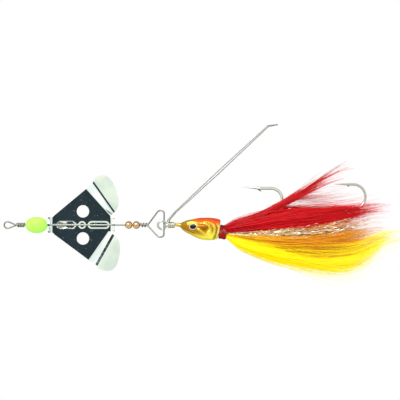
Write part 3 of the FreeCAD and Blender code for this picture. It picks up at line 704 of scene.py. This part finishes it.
collar_points, t, a = wound_collar()
thread, tree, shader = principled("varnished thread", (0.30, 0.006, 0.007), 0.0, 0.45,
                                  Specular_IOR_Level=0.1, Coat_Weight=0.12, Coat_Roughness=0.06)
reader = attribute_node(tree, "paint_and_light")
fuzz = place_group(tree, specks, Scale=2600.0, Amount=0.75)
worn = tree.nodes.new("ShaderNodeMix")
worn.data_type = "RGBA"
worn.inputs["B"].default_value = (0.13, 0.003, 0.004, 1)
tree.links.new(fuzz.outputs["Mask"], worn.inputs["Factor"])
tree.links.new(reader.outputs["Color"], worn.inputs["A"])
tree.links.new(worn.outputs["Result"], shader.inputs["Base Color"])
emboss(tree, shader, fuzz, 0.03, 0.6)
height = collar_points[..., 0] * 1000
thread_points, thread_faces = capped(collar_points[1:-1])
# Painted highlight: a pinkish band round the middle of the collar stands for the varnish's
# reflection.
varnish_highlight = np.exp(-((height + 3.3 + 0.5 * np.sin(9 * t)) / 0.75) ** 2)
winding = np.ones((*t.shape, 3)) * np.array((0.27, 0.003, 0.005))
winding = moved_towards(winding, (0.38, 0.005, 0.004), np.clip((-height - 4.2) / 1.0, 0, 1))
winding = moved_towards(winding, (0.52, 0.10, 0.10), 0.7 * varnish_highlight)
make_piece("wound_thread", thread_points, thread_faces, thread, "jig",
           ("thread_collar",), {"paint_and_light": with_ends(winding[1:-1])})

# %% [markdown]
# ## Hair
# A bundle is thousands of separate hairs that leave the collar together. Each hair keeps
# its own place inside the bundle, given by two numbers, so the whole bundle is one
# calculation: a table of sections says how high, low and deep the bundle is at each
# distance, and every hair runs through its place in all of them. Uneven lengths, a slow
# bend and a little curl of its own stop it looking combed. Each hair is a three-sided
# tapering tube, which is as few faces as a hair can have.

# %% Where the hair starts
root_x = span("flash_strands")[0][0] - 1.7
print("hair leaves the collar", round(root_x, 1), "mm behind the eye")


# %% Hair builder
def hair_paths(count, rows, seed, locks=120, knots=10, shortest=0.7, longest=1.0, curl=0.5,
               own=0.18, tight=0.16, stray=0.07):
    """Hair i at t: x = t L_i; (y, z) = the section's middle + (its lock's place + its own) times
    the half sizes + a sway that grows with t. Hairs start spread out and gather in their lock."""
    rng = np.random.default_rng(seed)
    rows = np.asarray(rows, float)
    t = np.linspace(0, 1, knots)[None, :]
    lock = rng.integers(0, locks, count)
    reach = shortest + (longest - shortest) * rng.beta(1.5, 1.7, locks)
    length = rows[-1, 0] * (reach[lock] * np.clip(rng.normal(1.0, 0.09, count), 0.7, 1.12))[:, None]
    x = t * length
    high, low, depth_mid, depth = (table_curve(rows, column, x) for column in (1, 2, 3, 4))
    turn, far = rng.uniform(0, 2 * np.pi, locks), rng.uniform(0, 1, locks) ** 0.58
    a0, b0 = (far * np.cos(turn))[lock][:, None], (far * np.sin(turn))[lock][:, None]
    gather = tight * (1.9 * (1 - t) ** 2 + 0.55 + 0.9 * np.clip(t - 0.7, 0, 1))
    da, db = rng.normal(0, 1, (2, count, 1)) * gather
    loose = (rng.uniform(0, 1, count) < stray)[:, None]
    away = np.where(loose, 1 + 0.9 * t**1.5, 1.0)
    phase, waves = rng.uniform(0, 2 * np.pi, (2, locks, 1)), rng.uniform(0.4, 1.3, (2, locks, 1))
    sway = curl * t**1.3 * np.sin(2 * np.pi * waves * t + phase)
    phase, waves = rng.uniform(0, 2 * np.pi, (2, count, 1)), rng.uniform(0.8, 2.4, (2, count, 1))
    mine = own * t * np.where(loose, 3.0, 1.0) * np.sin(2 * np.pi * waves * t + phase)
    away = away * (1 - 0.42 * np.exp(-((x / 3.2) ** 2)))
    y = (high + low) / 2 + (a0 + da) * away * (high - low) / 2 + sway[0][lock] + mine[0]
    z = depth_mid + (b0 + db) * away * depth + sway[1][lock] + mine[1]
    tone = np.clip(rng.beta(1.3, 1.9, locks)[lock] + rng.normal(0, 0.16, count), 0, 1)
    return np.stack([x, y, z], -1), tone, rng


def hair_mesh(name, paths, thick, material, nodes, tone, taper=0.25, flat=1.0, spin=0.0):
    """Three-sided tubes round the paths, all hairs in one mesh. A corner stands at
    centre + girth * (c across + s other), where (c, s) is a triangle's corner, squashed
    by flat and turned by spin; girth falls to taper at the tip."""
    count, knots, _ = paths.shape
    place = hang(paths[..., 0] + root_x, paths[..., 1], paths[..., 2])
    tangent = np.gradient(place, axis=1)
    tangent /= np.linalg.norm(tangent, axis=2, keepdims=True)
    across = np.cross(tangent, (0.0, 1.0, 0.0))
    across /= np.linalg.norm(across, axis=2, keepdims=True)
    other = np.cross(tangent, across)
    t = np.linspace(0, 1, knots)[None, :]
    girth = np.asarray(thick, float).reshape(-1, 1) / 1000.0 * (1 - (1 - taper) * t**1.5)
    corner = np.arange(3) * 2 * np.pi / 3
    spin = np.broadcast_to(spin, (count, knots))[..., None]
    local_u, local_v = np.cos(corner), np.sin(corner) * flat
    c = local_u * np.cos(spin) - local_v * np.sin(spin)
    s = local_u * np.sin(spin) + local_v * np.cos(spin)
    offset = c[..., None] * across[:, :, None, :] + s[..., None] * other[:, :, None, :]
    points = place[:, :, None, :] + girth[..., None, None] * offset
    base = (np.arange(count) * knots * 3)[:, None, None]
    k, j = np.meshgrid(np.arange(knots - 1), np.arange(3), indexing="ij")
    here, below, after = k * 3, (k + 1) * 3, (j + 1) % 3
    quad = np.stack([here + j, here + after, below + after, below + j], -1).reshape(1, -1, 4)
    quads = (base + quad).reshape(-1, 4).tolist()
    root_cap, tip_cap = np.array([[2, 1, 0]]), np.array([[0, 1, 2]]) + (knots - 1) * 3
    caps = (base[:, 0] + root_cap).tolist() + (base[:, 0] + tip_cap).tolist()
    shade = np.asarray(tone, float).reshape(count, -1)
    shade = np.repeat(np.broadcast_to(shade, (count, knots)), 3, axis=1).ravel()
    along = np.repeat(np.broadcast_to(t, (count, knots)), 3, axis=1).ravel()
    make_piece(name, points.reshape(-1, 3), quads + caps, material, "jig", nodes,
               {"tone": shade, "along": along}, smooth=False)


def hair_material(name, root, middle, tip, dark, shine=0.12, roughness=0.35, glow=0.0):
    """Colour runs from root to tip, and each hair's own tone darkens or lightens it. Glow is
    painted light: a little emission of the middle colour.
    """
    material, tree, shader = principled(name, middle, 0.0, roughness)
    shader.inputs["Specular IOR Level"].default_value = shine
    shader.inputs["Emission Color"].default_value = (*middle, 1)
    shader.inputs["Emission Strength"].default_value = glow
    along = attribute_node(tree, "along")
    length = ramp_node(tree, ((0.0, root), (0.45, middle), (1.0, tip)))
    tone = attribute_node(tree, "tone")
    blend = tree.nodes.new("ShaderNodeMix")
    blend.data_type = "RGBA"
    blend.inputs["B"].default_value = (*dark, 1)
    tree.links.new(along.outputs["Fac"], length.inputs[0])
    tree.links.new(tone.outputs["Fac"], blend.inputs["Factor"])
    tree.links.new(length.outputs["Color"], blend.inputs["A"])
    tree.links.new(blend.outputs["Result"], shader.inputs["Base Color"])
    return material


# %% [markdown]
# ## The five bundles
# Red hair covers the hook and throws a thin tuft up past the bend; below it lie pearl
# and gold tinsel, then orange hair, and a full yellow belly that curves up at the end.
# The tables follow the CAD solids, with longer, thinner ends, because hair ends in wisps.

# %% Red hair
red = hair_material("red hair", (0.50, 0.003, 0.008), (0.84, 0.006, 0.016), (0.84, 0.014, 0.020),
                    (0.30, 0.001, 0.004), glow=0.07)
main_rows = (
    (0, -0.6, -3.8, 0, 2.6), (4, 0.6, -3.8, 0, 3.5), (8, 2.0, -3.6, 0, 4.1),
    (17, 4.6, -2.9, 0, 4.6), (33, 8.4, -1.9, 0, 4.8), (42, 9.0, -0.7, 0, 4.7),
    (51, 9.5, 0.7, 0, 4.3), (61, 10.2, 2.2, 0, 3.8), (70, 11.0, 3.8, 0, 3.2),
    (79, 12.8, 5.8, 0, 2.6),
)
main_hairs, fringe_hairs = 2700, 300
paths, tone, rng = hair_paths(main_hairs, main_rows, 11, locks=170, shortest=0.46, longest=1.02,
                              curl=0.5, stray=0.10)
fringe_rows = (
    (0, -2.0, -3.8, 0.4, 2.4), (17, 0.6, -3.4, 1.2, 4.2), (33, 2.6, -4.0, 1.4, 4.6),
    (51, 4.4, -4.6, 1.2, 4.6), (61, 6.2, -3.6, 0.8, 4.2), (70, 8.4, -1.8, 0.4, 3.6),
    (79, 11.0, 1.6, 0, 3.0),
)
fringe, fringe_tone, rng = hair_paths(fringe_hairs, fringe_rows, 23, locks=64, shortest=0.66,
                                      longest=1.03, curl=0.9, own=0.15, tight=0.05)
thick = np.concatenate([rng.uniform(0.07, 0.14, main_hairs), np.full(fringe_hairs, 0.07)])
hair_mesh("red_hair", np.concatenate([paths, fringe]), thick, red, ("red_hair_main",),
          np.concatenate([tone, 0.5 * fringe_tone]))

# %% [markdown]
# ## The tuft over the hook
# A thin lock leaves the red bundle at the hook's bend and leans to the near side, so the
# trailer can swing past it. It parts into a few strands, and loose hairs hang between it
# and the main bundle. Fewer, tighter locks give the parted look.

# %% The tuft over the hook, and its flyaways
upper_rows = (
    (0, -0.4, -2.6, 0.6, 2.2), (4, 1.4, -1.6, 1.4, 2.6), (8, 2.9, -0.8, 2.0, 2.3),
    (17, 6.1, 1.9, 2.8, 1.8), (24, 9.6, 6.4, 3.6, 1.1), (33, 14.2, 11.2, 4.0, 0.9),
    (40, 18.3, 15.1, 4.1, 1.0), (47, 23.0, 18.4, 4.2, 1.3), (54, 27.8, 21.6, 4.6, 1.6),
    (60, 31.6, 23.6, 5.0, 1.8), (65, 34.4, 25.2, 5.2, 1.9),
)
tuft_hairs, stray_hairs = 640, 140
paths, tone, rng = hair_paths(tuft_hairs, upper_rows, 12, locks=26, shortest=0.46, longest=1.0,
                              curl=1.3, own=0.15, tight=0.08, stray=0.12)
stray_rows = (
    (0, -0.4, -2.6, 1, 2.0), (17, 5.4, 2.4, 2.6, 1.4), (29, 11.8, 9.4, 3.8, 0.9),
    (38, 16.0, 12.4, 4.2, 1.1), (50, 19.4, 9.6, 4.6, 1.5), (60, 21.6, 9.6, 4.9, 1.7),
    (68, 23.6, 11.0, 5.0, 1.7),
)
loose, loose_tone, rng = hair_paths(stray_hairs, stray_rows, 22, locks=46, shortest=0.66,
                                    longest=1.02, curl=1.3, own=0.4)
thick = np.concatenate([rng.uniform(0.06, 0.12, tuft_hairs), np.full(stray_hairs, 0.05)])
hair_mesh("red_tuft", np.concatenate([paths, loose]), thick, red, ("red_hair_upper",),
          np.concatenate([tone, 0.4 + 0.6 * loose_tone]))

# %% [markdown]
# ## Orange and yellow hair
# The orange tail is a soft golden bundle with separate darker strands lying over it: the
# strands have their own table, and their tone is either dark or light, never between. The
# yellow belly is the fullest bundle, and its bright tone hides most of the shading.

# %% Orange and yellow hair
amber = hair_material("orange hair", (0.93, 0.70, 0.02), (0.90, 0.42, 0.014), (0.88, 0.34, 0.03),
                      (0.40, 0.065, 0.004), glow=0.10)
orange_rows = (
    (0, -4.4, -5.8, 0, 2.4), (9, -5.0, -7.6, 0.3, 4.3), (19, -5.0, -10.0, 0.6, 5.4),
    (29, -4.6, -12.6, 0.8, 5.9), (43, -3.8, -14.4, 0.8, 5.9), (55, -3.0, -14.4, 0.6, 5.4),
    (67, -2.0, -12.6, 0.3, 4.4), (75, -1.4, -10.4, 0, 3.4), (82, -0.8, -8.0, 0, 2.6),
)
orange_hairs, dark_strands = 1250, 620
paths, tone, rng = hair_paths(orange_hairs, orange_rows, 13, locks=90, shortest=0.6, longest=1.0,
                              curl=0.7, own=0.35, tight=0.13, stray=0.12)
tone = np.where(tone > 0.45, 0.55 + 0.45 * tone, 0.35 * tone)
strand_rows = (
    (0, -4.4, -5.8, 1.0, 2.0), (19, -4.4, -9.6, 3.0, 3.6), (33, -3.0, -14.2, 3.8, 3.6),
    (47, -1.0, -17.4, 3.6, 3.6), (61, 1.4, -17.6, 2.8, 3.4), (73, 3.2, -15.2, 1.6, 3.2),
    (80, 4.2, -12.0, 0.4, 3.0),
)
strands, strand_tone, rng = hair_paths(dark_strands, strand_rows, 24, locks=120, shortest=0.55,
                                       longest=1.0, curl=1.1, own=0.12, tight=0.035, stray=0.04)
thick = np.concatenate([rng.uniform(0.06, 0.12, orange_hairs),
                        rng.uniform(0.06, 0.11, dark_strands)])
hair_mesh("orange_hair_tail", np.concatenate([paths, strands]), thick, amber, ("orange_hair",),
          np.concatenate([tone, np.where(strand_tone > 0.36, 1.0, 0.2)]))

# %% The yellow belly
lemon = hair_material("yellow hair", (0.95, 0.92, 0.03), (0.95, 0.88, 0.008), (0.95, 0.88, 0.05),
                      (0.88, 0.62, 0.004), glow=0.16)
yellow_rows = (
    (0, -4.6, -5.9, 0, 1.9), (4, -5.9, -8.9, 0, 3.2), (8, -6.7, -11.4, 0, 4.0),
    (13, -7.4, -13.6, 0, 4.4), (24, -8.3, -17.6, 0, 5.0), (37, -8.4, -20.9, 0, 5.2),
    (51, -8.2, -23.6, 0, 5.0), (64, -8.0, -24.6, 0, 4.4), (72, -6.6, -22.6, 0, 3.8),
    (79, -4.4, -17.4, 0, 3.2), (86, -1.4, -9.0, 0, 2.4),
)
yellow_hairs = 3300
paths, tone, rng = hair_paths(yellow_hairs, yellow_rows, 14, locks=170, shortest=0.58, longest=1.0,
                              curl=0.45, stray=0.09)
thick = rng.uniform(0.07, 0.14, yellow_hairs)
hair_mesh("yellow_hair_belly", paths, thick, lemon, ("yellow_hair",), tone**1.4)

# %% [markdown]
# ## Tinsel
# The flash is crinkled plastic film cut into strips a third of a millimetre wide. Each
# strip twists as it goes, so it catches the light in dashes. Here each one is a very flat
# three-sided tube whose turn runs along its length in steps, in dashes of pearl, gold and
# pink, with painted dark reflections and painted white glints among them.

# %% Crinkled strips
film, tree, shader = principled("pearl film", (0.9, 0.8, 0.6), 0.45, 0.16)
tone = attribute_node(tree, "tone")
# A random tone at each knot picks the colour: gold, pearl and pink are the film's own; the dark brown
# end is a painted dark reflection and the near-white end a painted glint.
hues_and_painted_light = ramp_node(tree, (
    (0.0, (0.10, 0.05, 0.01)), (0.16, (0.60, 0.36, 0.06)), (0.38, (0.98, 0.86, 0.40)),
    (0.66, (1.0, 0.78, 0.62)), (0.80, (1.0, 0.99, 0.95)),
))
tree.links.new(tone.outputs["Fac"], hues_and_painted_light.inputs[0])
tree.links.new(hues_and_painted_light.outputs["Color"], shader.inputs["Base Color"])
flash_rows = (
    (0, -3.4, -5.4, 0, 2.4), (9, -3.2, -6.8, 0.4, 4.4), (19, -2.4, -7.8, 0.6, 4.8),
    (29, -1.6, -8.2, 0.6, 5.0), (43, -0.4, -8.0, 0.4, 4.9), (55, 1.6, -7.4, 0.2, 4.5),
    (67, 4.6, -6.0, 0, 3.7), (78, 7.4, -3.4, 0, 3.0),
)
strips, knots = 500, 38
paths, tone, rng = hair_paths(strips, flash_rows, 15, locks=strips, knots=knots, shortest=0.35,
                              longest=0.95, curl=0.6, tight=0.08, stray=0.0)
crinkle = rng.normal(0, 1, (2, strips, knots))
crinkle = (crinkle + np.roll(crinkle, 1, 2)) * np.linspace(0.3, 1, knots) * 0.15
outwards = np.sign(paths[:, -1:, 2]) * np.linspace(0, 1.7, knots)
paths[..., 1] += crinkle[0]
paths[..., 2] += crinkle[1] + outwards
twist = np.cumsum(rng.normal(0.7, 1.0, (strips, knots)), 1)
hair_mesh("tinsel", paths, rng.uniform(0.14, 0.24, strips), film, ("flash_strands",),
          rng.uniform(0, 1, (strips, knots)), taper=0.9, flat=0.12, spin=twist)
